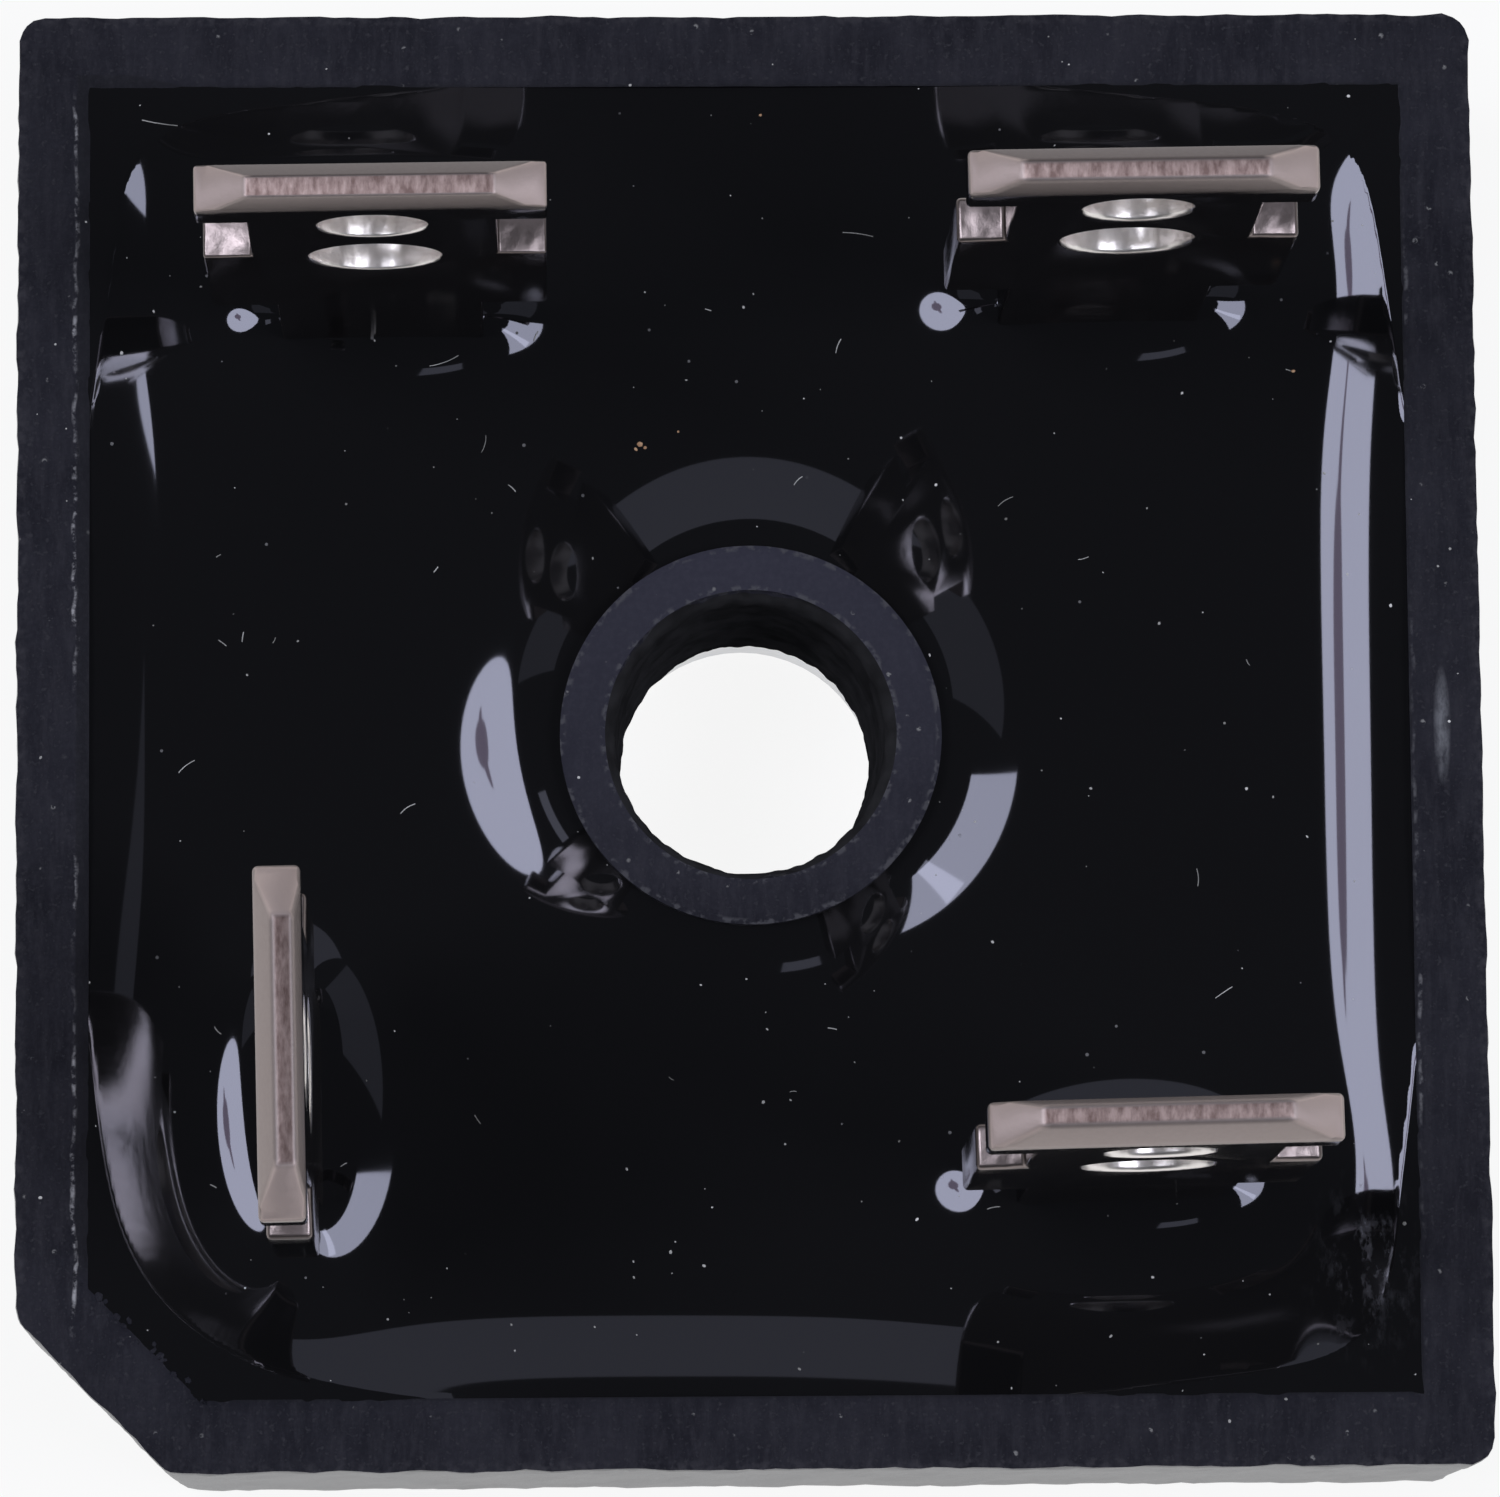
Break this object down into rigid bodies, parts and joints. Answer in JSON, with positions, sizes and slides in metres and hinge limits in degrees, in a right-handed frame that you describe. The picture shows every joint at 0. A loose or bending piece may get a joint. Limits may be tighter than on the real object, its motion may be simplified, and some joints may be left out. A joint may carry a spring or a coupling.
{
  "type": "bridge rectifier",
  "caption": "Square potted single-phase bridge rectifier with a screw hole through its middle, a metal base and flat push-on tabs.",
  "frame": {"origin": "on the axis of the screw hole, at the underside of the base plate", "axes": "+Z along the screw hole towards the tabs' tips, +X and +Y along the case sides, with the cut corner that marks the plus tab at -X -Y"},
  "size_m": [0.0286, 0.0286, 0.021],
  "materials": {
    "case_plastic": "matte black moulding, faintly blue, with sanded rim",
    "plate_metal": "satin rolled sheet",
    "insulator": "plain white sheet",
    "epoxy": "glossy cast black resin with dust on it",
    "copper": "plain copper sheet",
    "silicon": "dark polished chip",
    "solder": "dull solder",
    "tinned_tab": "satin tinned copper, rough on the sheared tips"
  },
  "bodies": {
    "root": {"housing": "case_plastic", "base_plate": "plate_metal", "insulator_sheet": "insulator", "potting_compound": "epoxy", "pad_plus": "copper", "pad_minus": "copper", "pad_ac_1": "copper", "pad_ac_2": "copper", "die_1": "silicon", "die_2": "silicon", "die_3": "silicon", "die_4": "silicon", "die_solder_1": "solder", "die_solder_2": "solder", "die_solder_3": "solder", "die_solder_4": "solder", "clip_1": "copper", "clip_2": "copper", "clip_3": "copper", "clip_4": "copper", "clip_solder_1": "solder", "clip_solder_2": "solder", "clip_solder_3": "solder", "clip_solder_4": "solder", "terminal_plus": "tinned_tab", "terminal_minus": "tinned_tab", "terminal_ac_1": "tinned_tab", "terminal_ac_2": "tinned_tab", "terminal_solder_plus": "solder", "terminal_solder_minus": "solder", "terminal_solder_ac_1": "solder", "terminal_solder_ac_2": "solder"}
  },
  "joints": []
}
